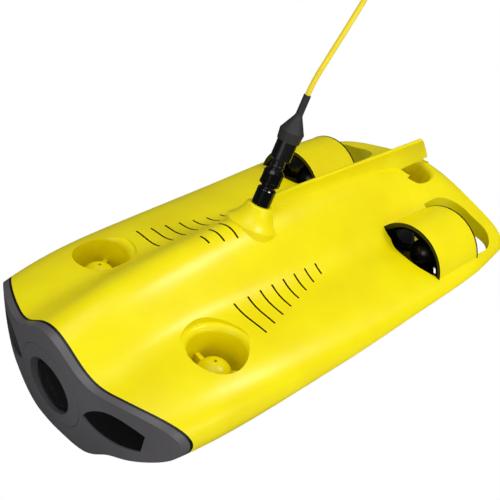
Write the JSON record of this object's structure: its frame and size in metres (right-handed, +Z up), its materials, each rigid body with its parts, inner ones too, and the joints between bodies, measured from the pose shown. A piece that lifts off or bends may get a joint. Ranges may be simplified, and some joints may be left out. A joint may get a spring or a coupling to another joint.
{
  "type": "underwater inspection rov",
  "caption": "Small tethered underwater inspection vehicle: moulded hull with ducted lift thrusters, aft thrust nacelles, dorsal fin, camera window and lamps in a nose panel",
  "frame": {"origin": "under the middle of the hull, on the plane that the flat belly rests on", "axes": "+X to the nose, +Y to port, +Z up"},
  "size_m": [0.39, 0.2136, 0.3183],
  "materials": {
    "shell_yellow": "satin moulded ABS, lemon yellow",
    "bezel_grey": "satin dark grey polymer",
    "seal_rubber": "matt black rubber",
    "window_glass": "clear tinted window",
    "lens_glass": "coated lens",
    "black_plastic": "satin black polymer",
    "gloss_black": "gloss black polymer",
    "boot_rubber": "matt dark rubber",
    "tether_yellow": "yellow sheathed tether",
    "lamp_reflector": "dark smooth lamp well",
    "circuit_green": "green circuit board",
    "housing_metal": "hard anodised aluminium",
    "battery_wrap": "shrink wrapped cells",
    "steel": "stainless steel",
    "brass": "turned brass",
    "hub_plastic": "semi-gloss black polymer",
    "motor_metal": "black anodised aluminium",
    "rotor_steel": "ground steel",
    "propeller_black": "semi-gloss black polymer",
    "liner_black": "gloss black polymer"
  },
  "bodies": {
    "hull": {"ballast_weights": "steel", "battery_pack": "battery_wrap", "camera_board": "circuit_green", "camera_lens": "lens_glass", "camera_tube": "black_plastic", "camera_window": "window_glass", "control_board": "circuit_green", "depth_sensor": "black_plastic", "electronics_tray": "black_plastic", "front_cap_seal": "seal_rubber", "front_end_cap": "housing_metal", "front_port_motor": "motor_metal", "front_port_stator": "shell_yellow", "front_starboard_motor": "motor_metal", "front_starboard_stator": "shell_yellow", "grip_sleeve": "gloss_black", "lens_barrel": "black_plastic", "lower_shell": "shell_yellow", "motor_driver_board": "circuit_green", "mount_inserts": "brass", "nose_bezel": "bezel_grey", "nose_gasket": "seal_rubber", "plug_body": "black_plastic", "port_lamp_board": "circuit_green", "port_lamp_bowl": "lamp_reflector", "port_lamp_window": "window_glass", "port_nacelle_liner": "liner_black", "port_thrust_motor": "motor_metal", "port_thrust_stator": "hub_plastic", "pressure_housing": "housing_metal", "rear_cap_seal": "seal_rubber", "rear_end_cap": "housing_metal", "rear_motor": "motor_metal", "rear_stator": "shell_yellow", "shell_screws": "steel", "starboard_lamp_board": "circuit_green", "starboard_lamp_bowl": "lamp_reflector", "starboard_lamp_window": "window_glass", "starboard_nacelle_liner": "liner_black", "starboard_thrust_motor": "motor_metal", "starboard_thrust_stator": "hub_plastic", "strain_relief_boot": "boot_rubber", "tether": "tether_yellow", "tether_socket": "gloss_black", "topside_connector": "gloss_black", "upper_shell": "shell_yellow", "window_ring": "bezel_grey"},
    "front_port_spinner": {"front_port_rotor": "rotor_steel", "front_port_propeller": "propeller_black"},
    "front_starboard_spinner": {"front_starboard_rotor": "rotor_steel", "front_starboard_propeller": "propeller_black"},
    "rear_spinner": {"rear_rotor": "rotor_steel", "rear_propeller": "propeller_black"},
    "port_thrust_spinner": {"port_thrust_rotor": "rotor_steel", "port_thrust_propeller": "propeller_black"},
    "starboard_thrust_spinner": {"starboard_thrust_rotor": "rotor_steel", "starboard_thrust_propeller": "propeller_black"},
    "coupling": {"coupling_nut": "gloss_black"}
  },
  "joints": [
    {"name": "front_port_spin", "type": "hinge", "parent": "hull", "child": "front_port_spinner", "pos_m": [0.1035, 0.063, 0.06], "axis": [0, 0, 1], "continuous": true},
    {"name": "front_starboard_spin", "type": "hinge", "parent": "hull", "child": "front_starboard_spinner", "pos_m": [0.1035, -0.063, 0.06], "axis": [0, 0, 1], "continuous": true},
    {"name": "rear_spin", "type": "hinge", "parent": "hull", "child": "rear_spinner", "pos_m": [-0.1655, 0, 0.08], "axis": [0, 0, 1], "continuous": true},
    {"name": "port_thrust_spin", "type": "hinge", "parent": "hull", "child": "port_thrust_spinner", "pos_m": [-0.13, 0.064, 0.079], "axis": [1, 0, 0], "continuous": true},
    {"name": "starboard_thrust_spin", "type": "hinge", "parent": "hull", "child": "starboard_thrust_spinner", "pos_m": [-0.13, -0.064, 0.079], "axis": [1, 0, 0], "continuous": true},
    {"name": "coupling_turn", "type": "hinge", "parent": "hull", "child": "coupling", "pos_m": [0.00677, 0, 0.15283], "axis": [-0.3156, 0, 0.9489], "continuous": true}
  ]
}
